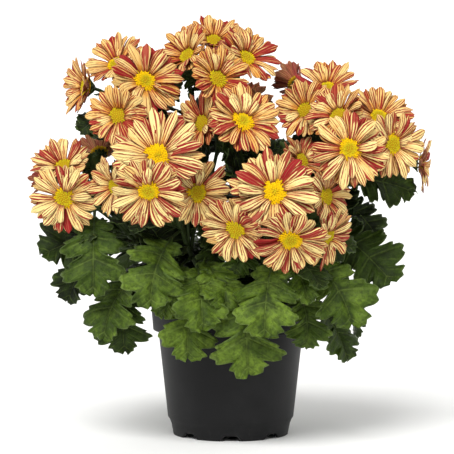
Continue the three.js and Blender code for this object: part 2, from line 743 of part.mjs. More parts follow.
const wood = stems.map((stem) => {
  const { main, shoots, stalks } = shootsOf(stem);
  const s = stemSize;
  const tubes = [
    tubeAlong(main, evenStations([s.mainRadius, s.mainRadius * 0.95, s.crownRadius]), 6),
    ...shoots.map((curve) => {
      const taper = [0, 1, 2, 3].map((i) => THREE.MathUtils.lerp(s.lateralRadius, s.lateralTipRadius, i / 3));
      return tubeAlong(curve, evenStations(taper), 5);
    }),
    ...stalks.map((curve, i) => {
      const length = curve.getLength();
      const calyx = stem.blooms[i].radius * s.calyxShare;
      const stalk = [0, 0.5].map((t) => [t, s.stalkRadius - 0.2 * t]);
      return tubeAlong(curve, [...stalk, [1 - calyx / length, 1.4], [1, calyx]], 4);
    }),
  ];
  tubes.forEach((tube) => take(tube, stem.name));
  return { tubes, curves: [main, ...shoots, ...stalks], leaves: [] };
});

const blooms = stems.flatMap((stem) => stem.blooms);
blooms.forEach((bloom, i) => placeBloom(bloom, 100 + i));
blooms.toSorted((a, b) => b.radius - a.radius).forEach(fillBloom);

// The first leaves of each list reach their places first
const mostLeaves = Math.max(...stems.map((stem) => stem.leaves.length));
for (let rank = 0; rank < mostLeaves; rank++) {
  stems.forEach((stem, i) => {
    if (rank < stem.leaves.length) wood[i].leaves.push(growLeaf(stem, wood[i].curves, stem.leaves[rank]));
  });
}
stems.forEach((stem, i) => {
  const solid = wasm.Manifold.union([...wood[i].tubes, ...wood[i].leaves]);
  plant.add(namedMesh(stem.name, geometryOf(solid), materials.foliage));
});
blooms.forEach((bloom) => plant.add(bloom.group));

export default plant;
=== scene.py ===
import random
from math import atan, atan2, copysign, cos, degrees, hypot, pi, radians, sin, sqrt
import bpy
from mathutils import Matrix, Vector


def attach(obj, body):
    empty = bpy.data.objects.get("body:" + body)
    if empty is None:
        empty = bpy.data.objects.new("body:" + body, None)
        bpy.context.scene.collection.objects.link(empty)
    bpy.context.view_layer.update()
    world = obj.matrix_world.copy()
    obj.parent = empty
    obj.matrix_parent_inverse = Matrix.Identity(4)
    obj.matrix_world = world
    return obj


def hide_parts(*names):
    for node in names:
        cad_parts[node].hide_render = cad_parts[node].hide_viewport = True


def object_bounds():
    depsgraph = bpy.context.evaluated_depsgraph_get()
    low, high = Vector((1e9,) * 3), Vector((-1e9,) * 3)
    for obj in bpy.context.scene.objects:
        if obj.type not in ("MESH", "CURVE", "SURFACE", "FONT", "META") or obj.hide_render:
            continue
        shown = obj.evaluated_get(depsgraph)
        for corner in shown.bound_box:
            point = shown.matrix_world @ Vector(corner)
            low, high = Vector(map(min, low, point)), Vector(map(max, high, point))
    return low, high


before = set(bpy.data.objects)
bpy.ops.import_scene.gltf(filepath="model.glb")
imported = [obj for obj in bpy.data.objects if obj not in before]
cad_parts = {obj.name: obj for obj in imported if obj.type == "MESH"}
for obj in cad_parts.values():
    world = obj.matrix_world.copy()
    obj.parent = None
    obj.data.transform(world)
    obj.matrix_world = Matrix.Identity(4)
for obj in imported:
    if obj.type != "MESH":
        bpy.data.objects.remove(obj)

from types import SimpleNamespace

import bmesh
import bpy
from mathutils import Matrix, Quaternion, Vector, noise
from mathutils.geometry import interpolate_bezier

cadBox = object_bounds()
mm = 0.001
up = Vector((0, 0, 1))
scene = bpy.context.scene
scene.view_settings.view_transform = "Standard"
print("frame loaded:", len(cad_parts), "nodes")


def addObject(name, data):
    made = bpy.data.objects.new(name, data)
    scene.collection.objects.link(made)
    return made


def toMesh(name, bm):
    mesh = bpy.data.meshes.new(name)
    bm.to_mesh(mesh)
    bm.free()
    return mesh


# camera: eye height just over the blooms, long lens, as the photograph was taken
view = {
    "target": (-0.003, 0.0, 0.168),
    "distance": 2.0,
    "lift": 4.0,  # degrees over level
    "width": 0.3677,  # what the picture is across, at the target
}


def addCamera():
    data = bpy.data.cameras.new("camera")
    data.sensor_fit = "HORIZONTAL"
    data.angle = 2 * atan(view["width"] / 2 / view["distance"])
    camera = addObject("camera", data)
    lift = radians(view["lift"])
    away = Vector((0, -cos(lift), sin(lift)))
    camera.location = Vector(view["target"]) + away * view["distance"]
    camera.rotation_euler = away.to_track_quat("Z", "Y").to_euler()
    scene.camera = camera


addCamera()
print("camera placed")


# shader helpers
def paint(code):  # "#rrggbb" as seen on screen, to the linear colour a shader takes
    parts = [int(code[i : i + 2], 16) / 255 for i in (1, 3, 5)]
    return [c / 12.92 if c < 0.04045 else ((c + 0.055) / 1.055) ** 2.4 for c in parts] + [1]


def paintAll(codes):
    return {name: paint(code) for name, code in codes.items()}


def addNode(tree, kind, feeds=None, **settings):
    made = tree.nodes.new("ShaderNode" + kind)
    for name, value in settings.items():
        setattr(made, name, value)
    for socket, value in (feeds or {}).items():
        if isinstance(value, bpy.types.NodeSocket):
            tree.links.new(value, made.inputs[socket])
        else:
            made.inputs[socket].default_value = value
    return made


def treeOf(*values):  # the material that the first socket among them is in
    return next(value.id_data for value in values if isinstance(value, bpy.types.NodeSocket))


def calc(operation, a, b=0.0, clamp=False):
    feeds = {0: a, 1: b}
    return addNode(treeOf(a, b), "Math", feeds, operation=operation, use_clamp=clamp).outputs[0]


def plus(a, b, clamp=False):
    return calc("ADD", a, b, clamp)


def minus(a, b):
    return calc("SUBTRACT", a, b)


def times(a, b):
    return calc("MULTIPLY", a, b)


def band(value, low, high):  # 0 at low, 1 at high, smooth between, and high may be under low
    feeds = {"Value": value, "From Min": low, "From Max": high}
    return addNode(value.id_data, "MapRange", feeds, interpolation_type="SMOOTHSTEP").outputs[0]


def tint(share, under, over):
    feeds = {0: share, 6: under, 7: over}
    return addNode(treeOf(share, under, over), "Mix", feeds, data_type="RGBA").outputs[2]


def overlay(base, colour, value, low, high, share):  # colour where value is past the band
    return tint(times(band(value, low, high), share), base, colour)


def read(tree, name):
    return addNode(tree, "Attribute", attribute_name=name).outputs["Fac"]


def objectPlace(tree):
    return addNode(tree, "TexCoord").outputs["Object"]


def grain(place, scale, detail=2.0, rough=0.5, stretch=(1, 1, 1)):
    tree = place.id_data
    spread = addNode(tree, "Mapping", {"Vector": place, "Scale": stretch})
    feeds = {"Vector": spread.outputs[0], "Scale": scale, "Detail": detail, "Roughness": rough}
    return addNode(tree, "TexNoise", feeds).outputs["Fac"]


def newMaterial(name, roughness, specular):
    material = bpy.data.materials.new(name)
    material.use_nodes = True
    tree = material.node_tree
    shader = tree.nodes["Principled BSDF"]
    shader.inputs["Roughness"].default_value = roughness
    shader.inputs["Specular IOR Level"].default_value = specular
    return material, tree, shader


def finishMaterial(material, shader, colour, height, depth, strength):  # its colour and relief
    tree = material.node_tree
    tree.links.new(colour, shader.inputs["Base Color"])
    bump = addNode(tree, "Bump", {"Height": height, "Distance": depth, "Strength": strength})
    tree.links.new(bump.outputs[0], shader.inputs["Normal"])
    return material


# mesh helpers
def makePiece(name, bm, materials, slot, *nodes):
    piece = addObject(name, toMesh(name, bm))
    for material in materials:
        piece.data.materials.append(material)
    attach(piece, "root")
    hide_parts(*nodes)
    return piece


def newFaces(bm, count):  # the faces made since there were count of them
    bm.faces.ensure_lookup_table()
    return bm.faces[count:]


def facesOf(vertices):
    return {face for vertex in vertices for face in vertex.link_faces}


def layersOf(bm, names):
    return {name: bm.verts.layers.float.new(name) for name in names}


def thicken(bm, faces, thickness, backIndex):  # sheets get a back and a rim, and the fronts stay
    front = set(faces)
    made = bmesh.ops.solidify(bm, geom=faces, thickness=0)["geom"]
    bm.normal_update()
    for vertex in made:
        if isinstance(vertex, bmesh.types.BMVert):
            vertex.co += vertex.normal * thickness
    for face in bm.faces:
        face.smooth = True
        if face not in front:
            face.material_index = backIndex


def smoothShade(mesh, sharpAngle):  # round shading, with crisp edges where faces meet steeply
    bm = bmesh.new()
    bm.from_mesh(mesh)
    for face in bm.faces:
        face.smooth = True
    for edge in bm.edges:
        edge.smooth = edge.is_manifold and edge.calc_face_angle(0) < radians(sharpAngle)
    bm.to_mesh(mesh)
    bm.free()


def spinProfile(bm, profile, steps):  # radius and height pairs in millimetres, turned full round
    points = [bm.verts.new((r * mm, 0, z * mm)) for r, z in profile]
    edges = [bm.edges.new(pair) for pair in zip(points, points[1:])]
    bmesh.ops.spin(
        bm, geom=points + edges, cent=(0, 0, 0), axis=(0, 0, 1), angle=2 * pi, steps=steps,
        use_merge=True,
    )
    bmesh.ops.remove_doubles(bm, verts=bm.verts, dist=1e-6)
    bmesh.ops.recalc_face_normals(bm, faces=bm.faces)


# the four cuttings, in millimetres and degrees
# blooms: name after bloom_, fork of its stalk, middle of the hub, azimuth, lift, radius
# leaves, and the shaded ones behind the blooms: tip, blade length, bend, azimuth it faces
cuttings = {
    "leafy_stem_front_left": {
        "root": (-21, -22),
        "forks": [(-84, -28, 168), (-38, -62, 172)],
        "blooms": [
            ("left_high", 0, (-134, -15, 217), -18, 48, 29),
            ("left_low", 0, (-131, -55, 195), -10, -10, 30),
            ("left_side", 0, (-147, 30, 205), -115, 12, 22),
            ("left_inner", 0, (-90, -76, 205), -55, -4, 27),
            ("main_left", 1, (-56, -98, 229), 0, 24, 38),
            ("main_left_low", 1, (-62, -134, 205), -6, -22, 32),
            ("middle", 1, (-27, -92, 201), 26, 0, 30),
            ("middle_high", 1, (-22, -42, 253), -42, 14, 27),
        ],
        "leaves": [
            (-108, -67, 120, 64, 60, -15), (-62, -100, 114, 58, 75, -5),
            (-150, -30, 148, 62, 40, -20), (-100, -58, 84, 58, 75, -20), (-34, -86, 72, 58, 100, 0),
            (-84, -44, 72, 50, 80, -20), (-22, -104, 96, 56, 90, 0), (-97, -3, 172, 50, 40, -10),
            (-66, -70, 158, 46, 40, 0), (-3, -95, 112, 50, 70, 0), (-52, -82, 104, 48, 80, -5),
        ],
        "shaded": [
            (-40, -60, 150, 44, 60, 0), (-14, -60, 140, 42, 70, 10), (-66, -20, 236, 34, 40, -30),
        ],
    },
    "leafy_stem_back_left": {
        "root": (-21, 22),
        "forks": [(-72, 0, 225), (-22, 16, 240), (-62, 52, 168)],
        "blooms": [
            ("crest_left", 0, (-116, -8, 281), -62, 6, 28),
            ("crest_left_up", 0, (-92, 18, 299), -30, 46, 31),
            ("crest_main", 0, (-68, -34, 286), 20, 22, 33),
            ("crest_low", 0, (-88, -56, 259), -14, 14, 28),
            ("top_left", 1, (-34, -2, 306), -45, 34, 30),
            ("top_back", 1, (-14, 42, 318), 5, 56, 29),
            ("top_closed", 1, (-10, 18, 305), 178, 36, 22),
            ("back_left", 2, (-72, 80, 252), -160, 34, 31),
            ("left_closed", 2, (-108, 34, 226), -170, 34, 24),
        ],
        "leaves": [
            (-132, -2, 108, 54, 55, -30), (-122, 50, 126, 62, 60, -90),
            (-92, 104, 116, 62, 70, -140), (-44, 128, 88, 60, 85, -160),
            (-104, 62, 76, 54, 85, -120), (-14, 156, 124, 62, 60, 180),
            (-118, 82, 178, 50, 40, -120), (-124, -8, 250, 34, 35, 0), (-40, 20, 286, 40, 30, 0),
            (-48, -14, 232, 40, 30, 0),
        ],
        "shaded": [
            (-34, -6, 276, 34, 35, 10), (-52, -12, 262, 30, 40, -10), (-120, -24, 246, 30, 40, 0),
        ],
    },
    "leafy_stem_front_right": {
        "root": (21, -22),
        "forks": [(40, -72, 160), (12, -34, 205)],
        "blooms": [
            ("main_right", 0, (33, -112, 202), 0, 20, 37),
            ("low_left", 0, (4, -124, 175), -24, -24, 29),
            ("low_right", 0, (45, -131, 168), 5, -34, 32),
            ("right_inner", 0, (73, -82, 198), 52, 6, 28),
            ("right_under", 0, (73, -100, 168), 48, -20, 28),
            ("centre", 1, (9, -72, 255), 20, 28, 33),
            ("centre_high", 1, (-11, -40, 288), 26, 24, 29),
            ("centre_right", 1, (55, -52, 224), 40, 40, 26),
        ],
        "leaves": [
            (14, -88, 60, 66, 100, 0), (4, -72, 136, 46, 45, 0), (26, -112, 92, 60, 85, 0),
            (94, -84, 98, 64, 60, 20), (58, -66, 78, 46, 90, 10), (60, -101, 117, 48, 50, 10),
            (92, -50, 66, 52, 75, 20), (97, -62, 156, 48, 40, 10),
        ],
        "shaded": [
            (38, -34, 235, 38, 40, 0), (20, -46, 228, 32, 40, 10), (-6, -42, 238, 36, 40, -10),
            (8, -44, 212, 34, 45, 10), (0, -66, 150, 44, 60, -10), (44, -60, 136, 44, 70, 10),
        ],
    },
    "leafy_stem_back_right": {
        "root": (21, 22),
        "forks": [(78, -12, 205), (18, 10, 240), (50, 56, 168)],
        "blooms": [
            ("right_main", 0, (92, -85, 234), -5, 8, 32),
            ("right_end", 0, (126, -60, 237), 28, 0, 30),
            ("right_mid", 0, (85, -52, 259), -30, 30, 29),
            ("right_left", 0, (60, -32, 262), -32, 20, 28),
            ("right_crest", 0, (77, 6, 279), -8, 54, 31),
            ("right_up", 0, (118, -20, 257), 18, 50, 31),
            ("far_right", 0, (153, 0, 219), 82, -4, 25),
            ("right_closed", 0, (53, 30, 284), -140, 26, 22),
            ("top_right", 1, (12, 2, 304), 38, 36, 31),
            ("back_middle", 2, (8, 98, 260), 175, 30, 32),
            ("back_right", 2, (88, 78, 238), 145, 30, 31),
        ],
        "leaves": [
            (127, -44, 128, 62, 20, 10), (147, -16, 197, 60, 30, 10), (120, 4, 156, 42, 40, 20),
            (122, 54, 116, 62, 60, 90), (80, 108, 106, 62, 70, 140), (32, 130, 82, 60, 85, 170),
            (104, 52, 74, 54, 85, 110), (40, 142, 140, 56, 55, 170), (96, 88, 172, 50, 40, 130),
            (54, 5, 234, 44, 30, 0),
        ],
        "shaded": [
            (48, -30, 238, 36, 35, 0), (108, -30, 208, 44, 50, 0), (96, -40, 186, 44, 50, 10),
        ],
    },
}

bloomKeys = ("name", "fork", "place", "azimuth", "lift", "radius")
habit = {
    "root": 76.3,  # where a main stem starts, just over the bottom of its hole
    "crown": 128,  # where it ends
    "branching": 0.9,  # how far up it the shoots leave
    "spray": (0.97, 0.5),  # the first stalk's place on its shoot, and how far back the rest spread
    "lowestLeaf": 116,  # no petiole leaves the plant under the rim
}
hub = {"share": 0.27, "depth": 1.6, "gap": 0.3}  # share of the bloom's radius, then millimetres


def directionOf(azimuth, lift):
    a, e = radians(azimuth), radians(lift)
    return Vector((sin(a) * cos(e), -cos(a) * cos(e), sin(e)))


def readBlooms():  # each row gets names, its middle in metres and the way it faces
    for cutting in cuttings.values():
        rows = [dict(zip(bloomKeys, row)) for row in cutting["blooms"]]
        cutting["blooms"] = [SimpleNamespace(**row) for row in rows]
        for bloom in cutting["blooms"]:
            bloom.name = "bloom_" + bloom.name
            bloom.own = bloom.name + "_petals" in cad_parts  # its disc is a node too
            bloom.middle = Vector(bloom.place) * mm
            bloom.facing = directionOf(bloom.azimuth, bloom.lift)
            bloom.turn = up.rotation_difference(bloom.facing)
    return [bloom for cutting in cuttings.values() for bloom in cutting["blooms"]]


allBlooms = readBlooms()


def bloomFrame(bloom):  # from a bloom that looks up at the origin to its place on the plant
    return Matrix.Translation(bloom.middle) @ bloom.turn.to_matrix().to_4x4()


def bowedCurve(start, leaving, end, arriving, slack=0.38):
    reach = (end - start).length * slack
    return start, start + leaving * reach, end - arriving * reach, end


def along(curve, t):
    a, b, c, d = curve
    s = 1 - t
    return a * s**3 + b * (3 * s * s * t) + c * (3 * s * t * t) + d * t**3


def growCurves(cutting):  # main stem, shoots to the forks, stalks to the blooms
    x, y = cutting["root"]
    foot, crown = (Vector((x, y, habit[end])) * mm for end in ("root", "crown"))
    main = bowedCurve(foot, up, crown, up)
    start = along(main, habit["branching"])
    shoots = []
    for fork in cutting["forks"]:
        end = Vector(fork) * mm
        outward = (end - start).normalized()
        leaving, arriving = (outward.lerp(up, share).normalized() for share in (0.35, 0.5))
        shoots.append(bowedCurve(start, leaving, end, arriving))
    stalks = []
    first, spread = habit["spray"]
    for bloom in cutting["blooms"]:
        spray = [other.name for other in cutting["blooms"] if other.fork == bloom.fork]
        place = first - spread * spray.index(bloom.name) / len(spray)
        begin = along(shoots[bloom.fork], place)
        seat = bloom.middle - bloom.facing * (hub["depth"] + hub["gap"]) * mm
        leaving = (seat - begin).normalized().lerp(up, 0.3).normalized()
        stalks.append(bowedCurve(begin, leaving, seat, bloom.facing, 0.4))
    return main, shoots, stalks


# rays: striped cream and coral, dull red behind
rays = {
    "colours": {
        "cream": "#fde69a",
        "gold": "#e29a3a",
        "coral": "#a31d27",
        "line": "#7a1b07",
        "back": "#7e2c30",
        "backPale": "#b8705a",
    },
    "marks": {  # where a mark begins, where it is full, and its share
        "hair": (0.56, 0.64, 0.2),
        "broad": (0.63, 0.67, 0.9),
        "line": (0.36, 0.43, 0.92),
        "heart": (0.47, 0.54, 0.85),
        # the foot mark is painted shade, dark where the rays meet the disc
        "foot": (0.2, 0.02, 0.6),
    },
    "stripes": 1.75,  # lines over half a ray's width
    "counts": ((33, 13), (26, 12), (0, 10)),  # rays in a ring, for blooms over each radius
    "reach": {1: (0.88, 1.03), 0: (0.9, 1.03), -1: (0.62, 0.86)},  # lower, upper, short on top
    "short": (2, 5),  # how many short ones lie on top
    "halfWidth": 0.13,  # over the bloom's radius
    "rows": (0.0, 0.2, 0.42, 0.64, 0.82, 0.94, 1.0),
    "widths": (0.42, 0.62, 0.84, 1.0, 0.97, 0.72, 0.34),
    "columns": 4,
    "arch": 26,  # degrees that a ray turns down from base to tip, times one of the bends
    "bends": (-0.8, 0.2, 0.7, 1.0, 1.3, 1.9),
    "roll": 0.4,
    "trough": (0.15, 0.95),
    "wave": 0.08,
    "notches": (0, 0, 0.05, 0.09),  # in the tip, over the length
    "redness": (0.0, 0.1, 0.2, 0.35, 0.45, 0.55, 0.65, 0.85),
    "thickness": 0.0004,
    "layers": 0.0015,  # height between the rings
}
rayMarks = ("across", "along", "seed", "redness", "warmth")


def makeRayMaterial(name, back):
    material, tree, shader = newMaterial(name, 0.65, 0.15)
    across, length, seed = read(tree, "across"), read(tree, "along"), read(tree, "seed")
    redness, warmth = read(tree, "redness"), read(tree, "warmth")
    place = addNode(tree, "CombineXYZ", {0: across, 1: length, 2: seed}).outputs[0]
    broad = grain(place, 1.0, 1.5, 0.45, (1.9, 0.75, 1))
    lines = grain(place, 1.0, 2.0, 0.55, (5.2, 0.8, 1.7))
    hair = grain(place, 1.0, 2.0, 0.6, (13, 1.4, 2.3))
    shade = grain(place, 1.0, 3.0, 0.6, (2.5, 3.0, 3.1))
    colour, marks = paintAll(rays["colours"]), rays["marks"]

    # cream that warms to gold in random patches and towards the foot, where the gold is partly the
    # ray's own colour and partly painted shade near the disc
    warm = plus(warmth, times(band(length, 0.55, 0.0), 0.6))
    warm = plus(warm, times(minus(shade, 0.5), 1.6), clamp=True)
    base = tint(warm, colour["cream"], colour["gold"])

    # hairlines and broad coral bands, more of them on a redder ray
    push = times(times(redness, redness), 0.2)
    fine = plus(hair, times(push, 0.4))
    base = overlay(base, colour["line"], fine, *marks["hair"])
    base = overlay(base, colour["coral"], plus(broad, push), *marks["broad"])

    # lines from foot to tip, now thick, now thin, with a coral heart
    warped = plus(times(across, rays["stripes"]), times(shade, 0.7))
    stripe = calc("PINGPONG", plus(warped, seed), 0.5)
    thick = times(minus(lines, 0.485), 1.2)
    over = plus(stripe, plus(thick, times(push, 1.2)))
    base = overlay(base, colour["line"], over, *marks["line"])
    base = overlay(base, colour["coral"], over, *marks["heart"])

    # a dark rim, partly the ray's own red margin and partly painted shade that parts each ray from
    # the next
    rim = plus(calc("ABSOLUTE", across), times(shade, 0.3))
    rimShare = plus(times(redness, 0.5), 0.3)
    base = overlay(base, colour["line"], rim, 1.0, 1.12, rimShare)
    # painted shade: each ray darkens to its line colour at the foot, where it meets the disc
    base = overlay(base, colour["line"], length, *marks["foot"])
    if back:
        dull = tint(band(lines, 0.42, 0.62), colour["back"], colour["backPale"])
        base = tint(0.25, dull, base)
    return finishMaterial(material, shader, base, plus(hair, lines), 0.0008, 0.6)


rayFace = makeRayMaterial("rayFace", False)
rayBack = makeRayMaterial("rayBack", True)


def cadTips(bloom, count):  # how far out and how high each CAD petal ends, in the bloom's own frame
    node = bloom.name + "_petals" if bloom.own else bloom.name
    inverse = bloom.turn.inverted()
    tips = [(0.0, 0.0)] * count
    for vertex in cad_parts[node].data.vertices:
        p = inverse @ (vertex.co - bloom.middle)
        i = int((atan2(p.y, p.x) % (2 * pi)) / (2 * pi) * count) % count
        middle = (i + 0.5) * 2 * pi / count
        r = hypot(p.x, p.y) * cos(atan2(p.y, p.x) - middle)
        if hypot(r, p.z) > hypot(*tips[i]):
            tips[i] = (r, p.z)
    return tips


def addRay(bm, layers, turn, base, tip, halfWidth, arch, look, rng):
    rise = atan2(tip[1] - base[1], tip[0] - base[0])
    chord = hypot(tip[0] - base[0], tip[1] - base[1])
    bow = radians(arch)
    length = chord * (bow / 2) / sin(bow / 2)
    roll, notch = rng.uniform(-rays["roll"], rays["roll"]), rng.choice(rays["notches"])
    trough, wave = rng.uniform(*rays["trough"]), rng.uniform(-rays["wave"], rays["wave"])
    out = Vector((cos(turn), sin(turn), 0))
    side = Vector((sin(turn), -cos(turn), 0))
    steps = len(rays["rows"]) - 1
    made = bmesh.ops.create_grid(bm, x_segments=rays["columns"], y_segments=steps, size=1)["verts"]
    for vertex in made:
        u = vertex.co.x
        row = round((vertex.co.y + 1) / 2 * steps)
        v = rays["rows"][row]
        reach = v - 0.07 * u * u * v**4 - notch * (1 - abs(u)) ** 2 * v**12
        angle = rise + bow / 2 - bow * reach
        r = base[0] + length / bow * (sin(rise + bow / 2) - sin(angle))
        h = base[1] + length / bow * (cos(angle) - cos(rise + bow / 2))
        normal = up * cos(angle) - out * sin(angle)
        lean = side * cos(roll * v) + normal * sin(roll * v)
        width = halfWidth * rays["widths"][row]
        pleat = 0.11 * sin(pi * abs(u)) * (1 - v**3)
        lift = width * (trough * (1 - 1.3 * v) * u * u + pleat)
        sway = side * (wave * length * sin(pi * v))
        vertex.co = out * r + up * h + lean * (u * width) + normal * lift + sway
        for name, value in zip(rayMarks, (u, v, *look)):
            vertex[layers[name]] = value
    return facesOf(made)


def addRays(bm, layers, bloom, rng):
    radius, size = bloom.radius, bloom.radius * mm
    count = next(number for least, number in rays["counts"] if radius > least)
    tips = cadTips(bloom, count)
    # high and small blooms are more golden
    warmth = (bloom.place[2] - 205) / 240 + (33 - radius) * 0.02 + rng.uniform(-0.1, 0.1)
    warmth = min(0.5, max(0.05, warmth))
    faces = set()
    places = [(1, i + 0.5) for i in range(count)] + [(0, i) for i in range(count)]
    places += [(-1, rng.uniform(0, count)) for k in range(rng.randint(*rays["short"]))]
    for ring, spot in places:  # the lower ring, the upper ring, then a few short rays over them
        i, between = int(spot), spot - int(spot)
        a, b = tips[i % count], tips[(i + 1) % count]
        tip = [p + (q - p) * between for p, q in zip(a, b)]
        tip[1] -= 0.05 * size * ring
        stretch = rng.uniform(*rays["reach"][ring])
        tip = (tip[0] * stretch, tip[1] * stretch + rng.uniform(-0.08, 0.08) * size)
        height = (1 - ring) * rays["layers"] - 0.0006 + rng.uniform(-0.0003, 0.0003)
        base = (size * hub["share"] * 0.72, height)
        turn = (spot + 0.5 + rng.uniform(-0.14, 0.14)) * 2 * pi / count
        # painted shade: rays in the lower ring are redder and more golden, and the short rays on
        # top paler
        redness = max(0.0, rng.choice(rays["redness"]) + 0.22 * ring)
        look = (rng.uniform(0, 90), redness, warmth + rng.uniform(-0.15, 0.2) + 0.25 * ring)
        width = size * rays["halfWidth"] * rng.uniform(0.8, 1.08)
        arch = rays["arch"] * rng.choice(rays["bends"])
        faces |= addRay(bm, layers, turn, base, tip, width, arch, look, rng)
    return faces


# discs: a low dome packed with florets, golden where they are open and greener where they are not,
# with painted shade at the foot of each floret for the gaps between them
discs = {
    # under is the dark gold of the specks and of the painted shade at each floret's foot
    "colours": {"open": "#f7ca06", "closed": "#c2b81f", "under": "#b9760f"},
    "height": 0.0036,
    "spread": 1.16,  # over the hub's radius
    "goldenAngle": 137.508,
    "lean": 62,  # degrees that the outermost florets lean out
    "openTall": (2.2, 2.9),  # height of an open floret, over the gap between florets
    "closedTall": 2,
}


def makeDiscMaterial():
    material, tree, shader = newMaterial("florets", 0.75, 0.1)
    colours = paintAll(discs["colours"])
    shade = grain(objectPlace(tree), 900, 2.0)
    colour = tint(read(tree, "ripe"), colours["closed"], colours["open"])
    colour = overlay(colour, colours["under"], shade, 0.6, 0.4, 0.15)
    # painted shade: each floret darkens towards its foot, in the gaps between the florets
    colour = overlay(colour, colours["under"], read(tree, "along"), 0.75, 0.0, 0.7)
    return finishMaterial(material, shader, colour, shade, 0.0002, 0.4)


florets = makeDiscMaterial()


def addOpenFloret(bm, gap, tall):  # a five-sided cup
    made = bmesh.ops.create_cone(
        bm, cap_ends=True, segments=5, radius1=gap * 0.55, radius2=gap * 1.08, depth=tall
    )["verts"]
    top = [face for face in facesOf(made) if face.calc_center_median().z > tall * 0.49]
    bmesh.ops.inset_region(bm, faces=top, thickness=gap * 0.3, depth=-gap * 0.5)
    return list({vertex for face in top for vertex in face.verts} | set(made))


def addFlorets(bm, layers, bloom, rng):
    radius = bloom.radius * mm
    edge = radius * hub["share"] * discs["spread"]
    height = discs["height"] * (0.75 + radius / 0.038 * 0.25)
    openness = min(1.0, max(0.15, (bloom.radius - 25) / 11))
    count = round(62 + 2.6 * (bloom.radius - 20) ** 1.18)
    dome = bmesh.ops.create_uvsphere(bm, u_segments=20, v_segments=10, radius=1)["verts"]
    for vertex in dome:
        x, y, z = vertex.co
        flat = 0.84 if z > 0 else 0.3
        vertex.co = Vector((x * edge * 0.93, y * edge * 0.93, z * height * flat))
    gap = edge * sqrt(pi / count) / 2
    for k in range(count):
        share = sqrt((k + 0.5) / count)
        turn = radians(k * discs["goldenAngle"])
        r = edge * share * rng.uniform(0.99, 1.01)
        z = height * (1 - share**2) ** 0.6 * 0.82
        if share > 1 - openness * 0.95:
            tall = gap * rng.uniform(*discs["openTall"])
            made = addOpenFloret(bm, gap, tall)
        else:
            tall = gap * discs["closedTall"]
            made = bmesh.ops.create_icosphere(bm, subdivisions=1, radius=gap * 0.88)["verts"]
        lean = radians(discs["lean"]) * share**2 * rng.uniform(0.85, 1.1)
        turned = Matrix.Rotation(turn, 4, "Z") @ Matrix.Rotation(lean, 4, "Y")
        turned = turned @ Matrix.Rotation(rng.random() * 6, 4, "Z")
        ripe = (share - (1 - openness)) / 0.35 + rng.uniform(-0.15, 0.15)
        spot = Matrix.Translation((r * cos(turn), r * sin(turn), z + tall * 0.1))
        for vertex in made:
            vertex[layers["along"]] = vertex.co.z / tall + 0.5
            vertex[layers["ripe"]] = min(1.0, max(0.0, ripe))
            vertex.co = spot @ turned @ vertex.co


def growBloom(bloom, rng):
    name, own = bloom.name, bloom.own
    marks = rayMarks + ("ripe",)
    bm = bmesh.new()
    layers = layersOf(bm, marks)
    faces = addRays(bm, layers, bloom, rng)
    bm.normal_update()
    thicken(bm, list(faces), rays["thickness"], 1)
    if own:
        disc = bmesh.new()
        discLayers = layersOf(disc, marks)
    else:
        disc, discLayers = bm, layers
    rayFaces = len(disc.faces)
    addFlorets(disc, discLayers, bloom, rng)
    for face in newFaces(disc, rayFaces):
        face.material_index = 0 if own else 2
    for made in {bm, disc}:
        bmesh.ops.transform(made, matrix=bloomFrame(bloom), verts=made.verts)
    if own:
        makePiece(name + "_rays", bm, [rayFace, rayBack], "petals", name + "_petals")
        makePiece(name + "_florets", disc, [florets], "disc", name + "_disc")
    else:
        makePiece(name + "_head", bm, [rayFace, rayBack, florets], "petals", name)


for index, bloom in enumerate(allBlooms):
    growBloom(bloom, random.Random(300 + index))
print("blooms:", len(allBlooms))


# leaves: lobed, quilted between their veins, duller beneath
leafStyle = {
    "colours": {
        "dark": "#0d1503",
        "mid": "#33470b",
        # the lightest green, on leaves painted as lit
        "litGreen": "#78932f",
        "vein": "#8ba34c",
        "edge": "#7d8c5c",
        "under": "#4f6330",
    },
    "thickness": 0.0005,
    "quilt": 0.0016,  # how far the blade stands up between its veins
    "blister": 0.0016,
    "wave": 0.0062,
    "curl": 0.005,
    "roll": 18,  # degrees either way
    "mostRoll": 65,
    "faceLift": 35,  # degrees over level that the upper side would face
    "fold": 0.2,  # how steeply the halves rise from the rib
    "ribReach": 0.72,  # how far the rib stands out below the blade
    "ribSink": 0.0007,
}


